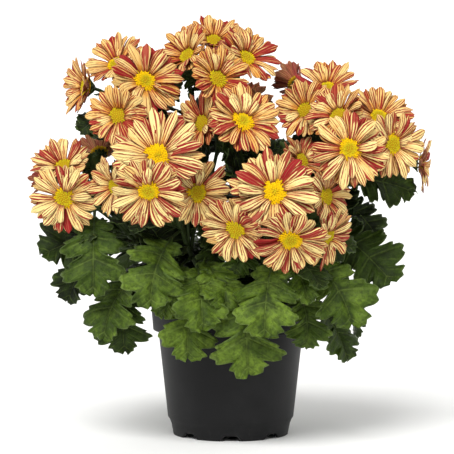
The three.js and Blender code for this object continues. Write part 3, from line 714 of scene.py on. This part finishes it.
def makeLeafMaterial(name, under):
    material, tree, shader = newMaterial(name, 0.5, 0.16)
    across, vein, seed = read(tree, "across"), read(tree, "vein"), read(tree, "seed")
    place = addNode(tree, "CombineXYZ", {0: across, 1: vein, 2: seed}).outputs[0]
    spot = objectPlace(tree)
    patch = grain(place, 1.6, 3.0, 0.6)
    fine = grain(spot, 700, 3.0, 0.7)
    mottle = grain(spot, 320, 4.0, 0.65)
    colour = paintAll(leafStyle["colours"])
    # painted light and shade: each leaf's share of light, high on the low front leaves and low on
    # the leaves in shade behind the blooms, takes it from dark through mid to the lightest green,
    # with random patches
    level = times(minus(patch, 0.5), 0.8)
    level = plus(read(tree, "litShare"), level, clamp=True)
    base = tint(band(level, 0.0, 0.5), colour["dark"], colour["mid"])
    base = tint(band(level, 0.45, 1.0), base, colour["litGreen"])

    # painted shade in the grooves along the main veins, beside the rib and towards the leaf's foot,
    # with the veins themselves pale
    out = calc("ABSOLUTE", across)
    off = calc("PINGPONG", vein, 0.5)  # 0 on the main side veins
    main = times(band(off, 0.04, 0.01), band(out, 1.0, 0.35))
    side = band(calc("PINGPONG", times(vein, 4.0), 0.5), 0.14, 0.03)
    side = times(times(side, band(out, 0.15, 0.5)), 0.6)
    veins = calc("MAXIMUM", band(out, 0.045, 0.015), calc("MAXIMUM", main, side))
    leafShade = times(band(off, 0.22, 0.0), band(out, 0.8, 0.1))
    leafShade = calc("MAXIMUM", leafShade, band(out, 0.3, 0.0))
    leafShade = calc("MAXIMUM", leafShade, band(vein, 2.2, 0.0))
    base = tint(times(leafShade, 0.5), base, colour["dark"])
    base = tint(times(veins, 0.17), base, colour["vein"])

    # a pale rim, dark mottling and light specks
    rim = plus(out, times(patch, 0.14))
    base = overlay(base, colour["edge"], rim, 0.99, 1.08, 0.3)
    base = overlay(base, colour["dark"], mottle, 0.56, 0.38, 0.42)
    base = overlay(base, colour["edge"], fine, 0.55, 0.75, 0.12)
    if under:
        base = tint(0.62, base, colour["under"])
    rough = plus(times(fine, 0.5), times(mottle, 1.4))
    return finishMaterial(material, shader, base, minus(rough, times(veins, 0.8)), 0.001, 0.7)


leafFace = makeLeafMaterial("leafFace", False)
leafUnder = makeLeafMaterial("leafUnder", True)

# a leaf's half, over its length: place on the rib, the edge point that belongs to it along and
# out, and the vein count (whole on a lobe's main vein)
lobedOutline = [
    (0.00, 0.00, 0.018, 0.0), (0.02, 0.04, 0.035, 0.25), (0.035, 0.07, 0.07, 0.45),
    (0.05, 0.075, 0.14, 0.62), (0.07, 0.10, 0.205, 0.76), (0.085, 0.135, 0.18, 0.86),
    (0.105, 0.165, 0.265, 1.0), (0.125, 0.21, 0.24, 1.12), (0.14, 0.235, 0.185, 1.26),
    (0.155, 0.245, 0.11, 1.42), (0.175, 0.275, 0.165, 1.54), (0.20, 0.30, 0.24, 1.66),
    (0.22, 0.335, 0.31, 1.77), (0.24, 0.37, 0.275, 1.86), (0.265, 0.405, 0.37, 1.95),
    (0.29, 0.455, 0.385, 2.02), (0.315, 0.485, 0.325, 2.1), (0.34, 0.53, 0.345, 2.18),
    (0.365, 0.54, 0.27, 2.27), (0.39, 0.53, 0.19, 2.36), (0.41, 0.52, 0.09, 2.48),
    (0.43, 0.56, 0.165, 2.58), (0.455, 0.59, 0.26, 2.68), (0.48, 0.625, 0.35, 2.77),
    (0.505, 0.66, 0.32, 2.85), (0.53, 0.695, 0.405, 2.93), (0.56, 0.75, 0.435, 3.0),
    (0.59, 0.785, 0.37, 3.08), (0.615, 0.835, 0.38, 3.15), (0.645, 0.855, 0.30, 3.25),
    (0.675, 0.85, 0.225, 3.36), (0.70, 0.85, 0.165, 3.48), (0.735, 0.90, 0.215, 3.6),
    (0.77, 0.94, 0.25, 3.7), (0.81, 0.955, 0.18, 3.8), (0.86, 1.005, 0.175, 3.9),
    (0.91, 1.01, 0.12, 4.0), (1.00, 1.04, 0.045, 4.2),
]
leafMarks = ("across", "vein", "litShare", "seed")


def smoothRows(rows):  # a row between each two, on the curve through their neighbours
    fuller = []
    last = len(rows) - 1
    for i in range(last):
        a, b, c, d = rows[max(i - 1, 0)], rows[i], rows[i + 1], rows[min(i + 2, last)]
        fuller.append(b)
        fuller.append(tuple((-p + 9 * q + 9 * r - s) / 16 for p, q, r, s in zip(a, b, c, d)))
    fuller.append(rows[-1])
    return fuller


leafKinds = {
    "full": {"rows": smoothRows(lobedOutline), "columns": 12, "stalkSteps": 6, "ribSteps": 9,
             "petiole": 1.25},
    "filler": {"rows": lobedOutline, "columns": 6, "stalkSteps": 3, "ribSteps": 4, "petiole": 0.8},
}


def leafArc(root, tip, bend, azimuth):  # an arc from root to tip, and how the blade is rolled on it
    chord = tip - root
    half = radians(bend) / 2
    ahead = chord.normalized()
    rise = (up - ahead * ahead.z).normalized()
    side = ahead.cross(rise)
    wanted = directionOf(azimuth, leafStyle["faceLift"])
    most = radians(leafStyle["mostRoll"])
    return SimpleNamespace(
        root=root,
        length=chord.length * half / sin(half),
        turn=2 * half,
        forward=ahead * cos(half) + rise * sin(half),
        up=rise * cos(half) - ahead * sin(half),
        side=side,
        roll=min(most, max(-most, atan2(-wanted.dot(side), wanted.dot(rise)))),
    )


def leafNormal(arc, angle):
    return arc.up * cos(angle) + arc.forward * sin(angle)


def rolled(arc, normal):
    return normal * cos(arc.roll) - arc.side * sin(arc.roll)


def leafPoint(arc, distance, out, height):
    angle = arc.turn * distance / arc.length
    radius = arc.length / arc.turn
    rib = arc.root + arc.forward * (radius * sin(angle))
    rib = rib - arc.up * (radius * (1 - cos(angle)))
    normal = leafNormal(arc, angle)
    side = arc.side * cos(arc.roll) + normal * sin(arc.roll)
    lift = leafStyle["fold"] * abs(out) - 0.45 * out * out / arc.length
    return rib + side * out + rolled(arc, normal) * (lift + height)


def leafRoot(curves, tip, bladeLength):  # the nearest place that leaves room for blade and petiole
    places = [along(curve, t) for curve in curves for t in (0.1, 0.3, 0.5)]
    places = [p for p in places if p.z > habit["lowestLeaf"] * mm]
    shortest = bladeLength * 1.15

    def miss(p):
        d = (p - tip).length
        return 1 + shortest - d if d < shortest else d

    return min(places, key=miss)


def rounder(rows, share):  # part of the way to a leaf without sinuses and teeth
    eased = []
    for rib, edge, out, vein in rows:
        full = 0.45 * (1 - (edge / 0.52 - 1) ** 4) * (0.8 + 0.25 * edge)
        eased.append((rib, edge, out + (full - out) * share, vein))
    return eased


def addBlade(bm, layers, arc, bladeLength, rows, columns, litShare, rng):
    seed = rng.uniform(0, 90)
    # leaves painted lighter, the low front ones, are also rounder
    rows = rounder(rows, rng.uniform(0.0, 0.06) + 0.12 * litShare)
    start = arc.length - bladeLength
    size = bladeLength / 0.06
    steps = len(rows) - 1
    made = bmesh.ops.create_grid(bm, x_segments=columns, y_segments=steps, size=1)["verts"]
    for vertex in made:
        u = vertex.co.x
        rib, edge, out, vein = rows[round((vertex.co.y + 1) / 2 * steps)]
        f = abs(u)
        # no two lobes are alike
        ahead = noise.noise(Vector((vein * 0.9, copysign(7, u), seed)))
        ahead = edge + 0.07 * ahead * min(1.0, vein)
        distance = start + bladeLength * (rib + (ahead - rib) * f)
        own = 1 + 0.3 * noise.noise(Vector((vein * 0.9, copysign(3, u), seed)))
        # the blade between the veins, then its waves
        between = sin(pi * vein) ** 2 * sin(pi * min(1.0, f * 1.1))
        minor = sin(pi * vein * 4) ** 2 * min(1.0, f * 1.6)
        quilt = leafStyle["quilt"] * size * (between + 0.2 * minor)
        swell = noise.noise(Vector((vein * 1.3, u * 1.2, seed))) * leafStyle["wave"] * size * f
        curl = noise.noise(Vector((vein * 2.6, u, seed + 40))) * leafStyle["curl"] * size * f**3
        blister = noise.noise(Vector((distance * 150, u * out * bladeLength * 150, seed)))
        lift = quilt + swell + curl + blister * leafStyle["blister"] * size * f
        across = copysign(f * out * own * bladeLength, u)
        vertex.co = leafPoint(arc, distance, across, lift)
        for name, value in zip(leafMarks, (u, vein, litShare, seed)):
            vertex[layers[name]] = value
    faces = list(facesOf(made))
    heart = leafPoint(arc, start + bladeLength * 0.5, 0, 0)
    middle = min(faces, key=lambda face: (face.calc_center_median() - heart).length)
    middle.normal_update()
    if middle.normal.dot(rolled(arc, leafNormal(arc, arc.turn * 0.6))) < 0:
        bmesh.ops.reverse_faces(bm, faces=faces)
    return faces


# stems, shoots, stalks and the green cups: radii in millimetres
stemStyle = {
    "colours": {"dark": "#0d1503", "green": "#3d501d", "wood": "#5b4a32"},
    "main": 3.3,
    "crown": 2.8,
    "shoot": 2.4,
    "shootTip": 2.0,
    "stalk": 1.55,
    "neck": 1.35,
    "calyx": 0.19,  # over the bloom's radius
}
bracts = {"rings": ((0, 9), (1, 11)), "rise": 0.15, "width": 0.052, "litShare": 0.45}


def makeStemMaterial():
    material, tree, shader = newMaterial("stemSkin", 0.6, 0.35)
    spot = objectPlace(tree)
    height = addNode(tree, "SeparateXYZ", {0: spot}).outputs[2]
    streak = grain(spot, 500, 3.0, 0.6, (1, 1, 0.12))
    colours = paintAll(stemStyle["colours"])
    colour = tint(streak, colours["dark"], colours["green"])
    woody = band(height, 0.135, 0.1)
    colour = overlay(colour, colours["wood"], streak, 0.3, 0.6, woody)
    return finishMaterial(material, shader, colour, streak, 0.0005, 0.6)


stemSkin = makeStemMaterial()


def addTube(curveData, points, radii):
    spline = curveData.splines.new("POLY")
    spline.points.add(len(points) - 1)
    for point, place, radius in zip(spline.points, points, radii):
        point.co = (*place, 1)
        point.radius = radius
    spline.use_smooth = True


def addTaper(curveData, curve, steps, first, last):
    radii = [first + (last - first) * i / (steps - 1) for i in range(steps)]
    addTube(curveData, interpolate_bezier(*curve, steps), radii)


def stalkRadii(points, calyx):  # a thin stalk that swells into the green cup under the bloom
    left = [0.0]
    for a, b in zip(reversed(points[:-1]), reversed(points[1:])):
        left.append(left[-1] + (a - b).length)
    left.reverse()
    radii = []
    neck, stalk = stemStyle["neck"], stemStyle["stalk"]
    for distance in left:
        share = max(0.0, 1 - distance / (calyx * 1.15))
        thin = neck + (stalk - neck) * min(1.0, distance / 0.05)
        cup = calyx / mm * sin(share * pi / 2) ** 0.8 * share**0.3
        radii.append(thin * (1 - share) + cup)
    return radii


def addBracts(bm, layers, bloom, rng):  # two rows of small green bracts hold the bloom from below
    whole = bloomFrame(bloom)
    size = bloom.radius * mm
    faces = set()
    for ring, count in bracts["rings"]:
        for i in range(count):
            turn = (i + 0.5 * ring + rng.uniform(-0.15, 0.15)) * 2 * pi / count
            out = Vector((cos(turn), sin(turn), 0))
            side = Vector((-sin(turn), cos(turn), 0))
            made = bmesh.ops.create_grid(bm, x_segments=2, y_segments=3, size=1)["verts"]
            seed = rng.uniform(0, 90)
            for vertex in made:
                u, v = vertex.co.x, (vertex.co.y + 1) / 2
                r = size * (0.10 + ring * 0.04 + 0.13 * v**0.8)
                rise = size * (bracts["rise"] - ring * 0.04) * (1 - v) ** 1.4
                z = -0.0021 - rise + 0.0006 * ring
                width = size * bracts["width"] * (1 - v**3) + 0.0002
                vertex.co = whole @ (out * r + side * (u * width) + up * (z - 0.0004 * u * u))
                for mark, value in zip(leafMarks, (u, v * 0.9, bracts["litShare"], seed)):
                    vertex[layers[mark]] = value
            faces |= facesOf(made)
    return faces


def addLeaf(bm, layers, curveData, arc, bladeLength, kind, litShare, rng):  # petiole, rib and blade
    start = arc.length - bladeLength
    stalkSteps, ribSteps = kind["stalkSteps"], kind["ribSteps"]
    stalk = [start * i / stalkSteps for i in range(stalkSteps)]
    reach = bladeLength * leafStyle["ribReach"]
    rib = [start + reach * i / (ribSteps - 1) for i in range(ribSteps)]
    points = [leafPoint(arc, d, 0, 0 if d < start else -leafStyle["ribSink"]) for d in stalk + rib]
    shares = [1.0] * stalkSteps + [1 - 0.88 * i / (ribSteps - 1) for i in range(ribSteps)]
    addTube(curveData, points, [kind["petiole"] * share for share in shares])
    return addBlade(bm, layers, arc, bladeLength, kind["rows"], kind["columns"], litShare, rng)


# leaves that fill the plant behind the blooms, painted dark for the shade there: places on the
# stem, first and last blade
fillers = {
    "main": {"places": (0.72, 0.82, 0.92, 0.98), "blade": (52, 46), "lean": 0.45, "bend": 70,
             "litShare": (0.15, 0.4)},
    "shoot": {"places": (0.2, 0.4, 0.6, 0.8, 0.95), "blade": (48, 34), "lean": 0.3, "bend": 65,
              "litShare": (0.06, 0.32)},
    "stalk": {"places": (0.08, 0.24, 0.42, 0.6), "blade": (36, 17), "lean": 0.6, "bend": 45,
              "litShare": (0.04, 0.22)},
    "spiral": 137.5,
    "tries": 9,
    "clear": 2.5,  # millimetres beside the rays
    "behind": 0.007,
    "before": 0.045,
    "inside": 0.004,  # from the sides of the CAD box
}


def clearOfRays(point):
    inside = fillers["inside"]
    if not all(low + inside < c < high - inside for c, low, high in zip(point, *cadBox)):
        return False
    for bloom in allBlooms:
        offset = point - bloom.middle
        ahead = offset.dot(bloom.facing)
        aside = (offset - bloom.facing * ahead).length
        near = aside < (bloom.radius + fillers["clear"]) * mm
        if near and -fillers["behind"] < ahead < fillers["before"]:
            return False
    return True


def fillAlong(curve, kind, phase, rng):  # arc and blade length of each leaf that finds room
    found = []
    first, last = kind["blade"]
    for k, t in enumerate(kind["places"]):
        root = along(curve, t)
        ahead = (along(curve, t + 0.02) - root).normalized()
        for attempt in range(fillers["tries"]):
            blade = (first + (last - first) * t) * rng.uniform(0.85, 1.15)
            blade = blade * (1 - 0.05 * attempt) * mm
            away = ahead.orthogonal().normalized()
            turn = phase + radians((k + attempt) * fillers["spiral"])
            away.rotate(Quaternion(ahead, turn))
            onward = (ahead * kind["lean"] + away + up * 0.15).normalized()
            tip = root + onward * blade * 1.28
            aside = onward.cross(up).normalized() * blade * 0.36
            middle = root + onward * blade * 0.9
            edges = (tip, root + onward * blade * 0.6, middle + aside, middle - aside)
            if all(clearOfRays(point) for point in edges):
                azimuth = degrees(atan2(onward.x, -onward.y))
                found.append((leafArc(root, tip, kind["bend"], azimuth), blade))
                break
    return found


def meshOfTubes(curveData):
    tubes = addObject("tubes", curveData)
    depsgraph = bpy.context.evaluated_depsgraph_get()
    mesh = bpy.data.meshes.new_from_object(tubes.evaluated_get(depsgraph))
    bpy.data.objects.remove(tubes)
    bpy.data.curves.remove(curveData)
    return mesh


def growCutting(name, cutting, rng):
    main, shoots, stalks = growCurves(cutting)
    curveData = bpy.data.curves.new(name + "_tubes", "CURVE")
    curveData.dimensions = "3D"
    curveData.bevel_depth = mm
    curveData.bevel_resolution = 2
    curveData.use_fill_caps = True
    addTaper(curveData, main, 10, stemStyle["main"], stemStyle["crown"])
    for curve in shoots:
        addTaper(curveData, curve, 16, stemStyle["shoot"], stemStyle["shootTip"])
    for curve, bloom in zip(stalks, cutting["blooms"]):
        points = interpolate_bezier(*curve, 40)
        addTube(curveData, points, stalkRadii(points, bloom.radius * mm * stemStyle["calyx"]))

    bm = bmesh.new()
    layers = layersOf(bm, leafMarks)
    faces = []
    full, filler = leafKinds["full"], leafKinds["filler"]
    carriers = [main, *shoots, *stalks]

    def arcTo(x, y, z, blade, bend, azimuth):
        tip = Vector((x, y, z)) * mm
        return leafArc(leafRoot(carriers, tip, blade * mm), tip, bend, azimuth), blade * mm

    for row in cutting["leaves"]:
        arc, blade = arcTo(*row)
        arc.roll += radians(rng.uniform(-1, 1) * leafStyle["roll"])
        # painted light: low front leaves get a larger share of light and are painted lighter
        front = min(1.0, max(0.0, (-row[1] - 20) / 70))
        low = min(1.0, max(0.0, (165 - row[2]) / 75))
        litShare = 0.2 + 0.58 * front * low + rng.uniform(-0.1, 0.1)  # low front leaves are lighter
        faces += addLeaf(bm, layers, curveData, arc, blade, full, litShare, rng)
    # painted shade: leaves behind the blooms get a small share of light and are painted dark
    for row in cutting["shaded"]:
        arc, blade = arcTo(*row)
        faces += addLeaf(bm, layers, curveData, arc, blade, filler, rng.uniform(0.05, 0.25), rng)
    for curves, kind in (([main], "main"), (shoots, "shoot"), (stalks, "stalk")):
        kind = fillers[kind]
        for curve in curves:
            for arc, blade in fillAlong(curve, kind, rng.uniform(0, 2 * pi), rng):
                litShare = rng.uniform(*kind["litShare"])
                faces += addLeaf(bm, layers, curveData, arc, blade, filler, litShare, rng)
    for bloom in cutting["blooms"]:
        faces += addBracts(bm, layers, bloom, rng)
    bm.normal_update()
    thicken(bm, faces, leafStyle["thickness"], 1)

    tubeMesh = meshOfTubes(curveData)
    leafy = len(bm.faces)
    bm.from_mesh(tubeMesh)
    bpy.data.meshes.remove(tubeMesh)
    for face in newFaces(bm, leafy):
        face.material_index = 2
        face.smooth = True
    makePiece(name + "_grown", bm, [leafFace, leafUnder, stemSkin], "foliage", name)


for index, (name, cutting) in enumerate(cuttings.items()):
    growCutting(name, cutting, random.Random(40 + index))
print("cuttings:", len(cuttings))


# pot: one thin shell of charcoal plastic, in millimetres
pot = {
    "colours": {"plain": "#131314", "scuff": "#242425"},
    "steps": 96,
    "profile": [  # radius and height, from the middle of the base round to the inside
        (0, 5), (43.8, 5), (43.8, 0.4), (44.2, 0), (46.6, 0), (47, 0.4), (47.4, 4), (48.2, 8.6),
        (49.7, 12.4), (51, 14.4), (51.3, 16.5), (58.8, 84.6), (59.2, 85), (62.6, 85), (63, 85.4),
        (64.9, 109), (64.7, 109.8), (64.2, 110), (63.6, 109.6), (61.5, 87), (61.0, 86.6),
        (57.2, 86.6), (49.4, 14), (46, 6.6), (0, 6.6),
    ],
    "feet": 8,
    "notch": [(-9.5, -1), (9.5, -1), (4.5, 4.3), (-4.5, 4.3)],
    "notchPlace": 56,  # a notch is cut from this far out
    "notchDepth": 16,
    "drainRadius": 4,
    "drainCircle": 33,
    "drainDepth": 12,
    "sharp": 35,  # degrees past which an edge is crisp
}


def makePotMaterial():
    material, tree, shader = newMaterial("charcoalPlastic", 0.5, 0.2)
    spot = objectPlace(tree)
    height = addNode(tree, "SeparateXYZ", {0: spot}).outputs[2]
    fine = grain(spot, 1800, 2.0, 0.6)
    cloud = grain(spot, 22, 4.0, 0.6)
    scratch = grain(spot, 260, 3.0, 0.7, (1, 1, 0.12))
    colours = paintAll(pot["colours"])
    colour = overlay(colours["plain"], colours["scuff"], cloud, 0.45, 0.75, 0.5)
    foot = times(band(height, 0.02, 0.002), 0.5)
    colour = overlay(colour, colours["scuff"], scratch, 0.5, 0.66, foot)
    rough = plus(0.46, times(cloud, 0.14))
    tree.links.new(rough, shader.inputs["Roughness"])
    grit = plus(fine, times(scratch, 0.4))
    return finishMaterial(material, shader, colour, grit, 0.00012, 0.5)


def makePotCuts():  # the notches in the foot, and the drain holes between them
    cut = bmesh.new()
    for i in range(pot["feet"]):
        turn = Matrix.Rotation(2 * pi * i / pot["feet"], 4, "Z")
        start = -pot["notchPlace"] * mm
        corners = [cut.verts.new(turn @ Vector((x * mm, start, z * mm))) for x, z in pot["notch"]]
        pushed = bmesh.ops.extrude_face_region(cut, geom=[cut.faces.new(corners)])["geom"]
        pushed = [part for part in pushed if isinstance(part, bmesh.types.BMVert)]
        inward = turn @ Vector((0, pot["notchDepth"] * mm, 0))
        bmesh.ops.translate(cut, vec=inward, verts=pushed)
        aside = turn @ Matrix.Rotation(pi / pot["feet"], 4, "Z")
        aside = aside @ Matrix.Translation((0, -pot["drainCircle"] * mm, 0.005))
        radius = pot["drainRadius"] * mm
        bmesh.ops.create_cone(
            cut, cap_ends=True, segments=24, radius1=radius, radius2=radius,
            depth=pot["drainDepth"] * mm, matrix=aside,
        )
    bmesh.ops.recalc_face_normals(cut, faces=cut.faces)
    return toMesh("potCuts", cut)


def addPot():
    bm = bmesh.new()
    spinProfile(bm, pot["profile"], pot["steps"])
    shell = makePiece("pot_shell", bm, [makePotMaterial()], "pot", "pot")
    cutter = addObject("potCuts", makePotCuts())
    boolean = shell.modifiers.new("cuts", "BOOLEAN")
    boolean.object = cutter
    boolean.operation = "DIFFERENCE"
    boolean.solver = "EXACT"
    depsgraph = bpy.context.evaluated_depsgraph_get()
    cutShell = bpy.data.meshes.new_from_object(shell.evaluated_get(depsgraph))
    shell.modifiers.clear()
    shell.data = cutShell
    bpy.data.objects.remove(cutter)
    smoothShade(cutShell, pot["sharp"])


addPot()
print("pot done")


# soil: a crumbly top between the stems, lengths in metres but for the profile
potting = {
    "colours": {"dark": "#1d130c", "brown": "#4a3222", "fibre": "#7a5a3c", "pale": "#c9c2b4"},
    "top": (61.2, 98.5),  # radius and height
    "side": [(60.3, 90), (60.0, 87.3), (56.0, 87.0), (48.6, 14.5), (45.0, 7.3), (0, 7.3)],
    "rings": 26,
    "steps": 120,
    "crumbs": 520,
    "specks": 46,
    "sizes": (0.0006, 0.0021),
    "scatter": 0.0595,
    "level": 0.0987,
}


def makeSoilMaterial(name, pale):
    material, tree, shader = newMaterial(name, 0.95, 0.2)
    spot = objectPlace(tree)
    lump = grain(spot, 160, 5.0, 0.7)
    fibre = grain(spot, 600, 4.0, 0.7, (1, 0.35, 1))
    colours = paintAll(potting["colours"])
    colour = tint(band(lump, 0.35, 0.7), colours["dark"], colours["brown"])
    colour = overlay(colour, colours["fibre"], fibre, 0.6, 0.75, 0.5)
    if pale:
        colour = tint(0.85, colour, colours["pale"])
    return finishMaterial(material, shader, colour, plus(lump, fibre), 0.001, 0.8)


def addCrumb(bm, pale, rng):
    r, turn = potting["scatter"] * sqrt(rng.random()), rng.uniform(0, 2 * pi)
    spot = Vector((r * cos(turn), r * sin(turn), potting["level"]))
    size = rng.uniform(*potting["sizes"]) * (0.8 if pale else 1)
    made = bmesh.ops.create_icosphere(bm, subdivisions=1, radius=size)["verts"]
    stretch = (rng.uniform(0.7, 1.8), rng.uniform(0.6, 1.1), rng.uniform(0.5, 0.9), 1)
    turned = Matrix.Translation(spot) @ Matrix.Rotation(rng.uniform(0, 6), 4, "Z")
    turned = turned @ Matrix.Diagonal(stretch)
    for vertex in made:
        vertex.co = turned @ (vertex.co * rng.uniform(0.8, 1.2))
    for face in facesOf(made):
        face.material_index = 1 if pale else 0


def addSoil():
    rng = random.Random(5)
    bm = bmesh.new()
    outer, level = potting["top"]
    rings = potting["rings"]
    top = [(outer * i / rings, level) for i in range(rings + 1)]
    spinProfile(bm, top + potting["side"], potting["steps"])
    for vertex in bm.verts:
        r = hypot(vertex.co.x, vertex.co.y)
        if vertex.co.z > 0.098:
            lump = noise.noise(vertex.co * 70) * 0.0016 + noise.noise(vertex.co * 260) * 0.0009
            vertex.co.z += lump + 0.0008 * (1 - r / 0.061)
    for face in bm.faces:
        face.smooth = True
    for k in range(potting["crumbs"] + potting["specks"]):
        addCrumb(bm, k >= potting["crumbs"], rng)
    peat, perlite = makeSoilMaterial("peat", False), makeSoilMaterial("perlite", True)
    makePiece("potting_mix", bm, [peat, perlite], "soil", "soil")


addSoil()
print("soil done")


# floor, lights and surroundings
studio = {
    "floor": "#f6f6f4",
    "floorShade": "#dededc",
    "sweep": [(0, 0), (2.4, 0), (3.0, 0.03), (3.5, 0.16), (3.8, 0.4), (4.0, 0.8), (4.05, 1.2)],
    "steps": 96,
    "surroundings": 0.48,
    "key": {"from": (-0.26, -0.8, 1.0), "strength": 3.0, "spread": 34},  # spread in degrees
    "back": {"from": (0.4, 0.8, 0.7), "strength": 0.7, "spread": 40},
}


def addFloor():  # a wide floor that turns up into a low wall all round
    bm = bmesh.new()
    spinProfile(bm, [(r / mm, z / mm) for r, z in studio["sweep"]], studio["steps"])
    for face in bm.faces:
        face.smooth = True
    floor = addObject("floor", toMesh("floor", bm))
    material, tree, shader = newMaterial("floorPaint", 0.85, 0.2)
    shade = times(grain(objectPlace(tree), 40, 3.0), 0.04)
    colour = tint(shade, paint(studio["floor"]), paint(studio["floorShade"]))
    tree.links.new(colour, shader.inputs["Base Color"])
    floor.data.materials.append(material)


def addLight(name, setup):
    data = bpy.data.lights.new(name, "SUN")
    data.angle = radians(setup["spread"])
    data.energy = setup["strength"]
    light = addObject(name, data)
    light.location = setup["from"]
    light.rotation_euler = Vector(setup["from"]).to_track_quat("Z", "Y").to_euler()


addFloor()
for name in ("key", "back"):
    addLight(name, studio[name])
world = bpy.data.worlds.new("studio")
world.use_nodes = True
world.node_tree.nodes["Background"].inputs[0].default_value = (1, 1, 1, 1)
world.node_tree.nodes["Background"].inputs[1].default_value = studio["surroundings"]
scene.world = world
print("studio done")
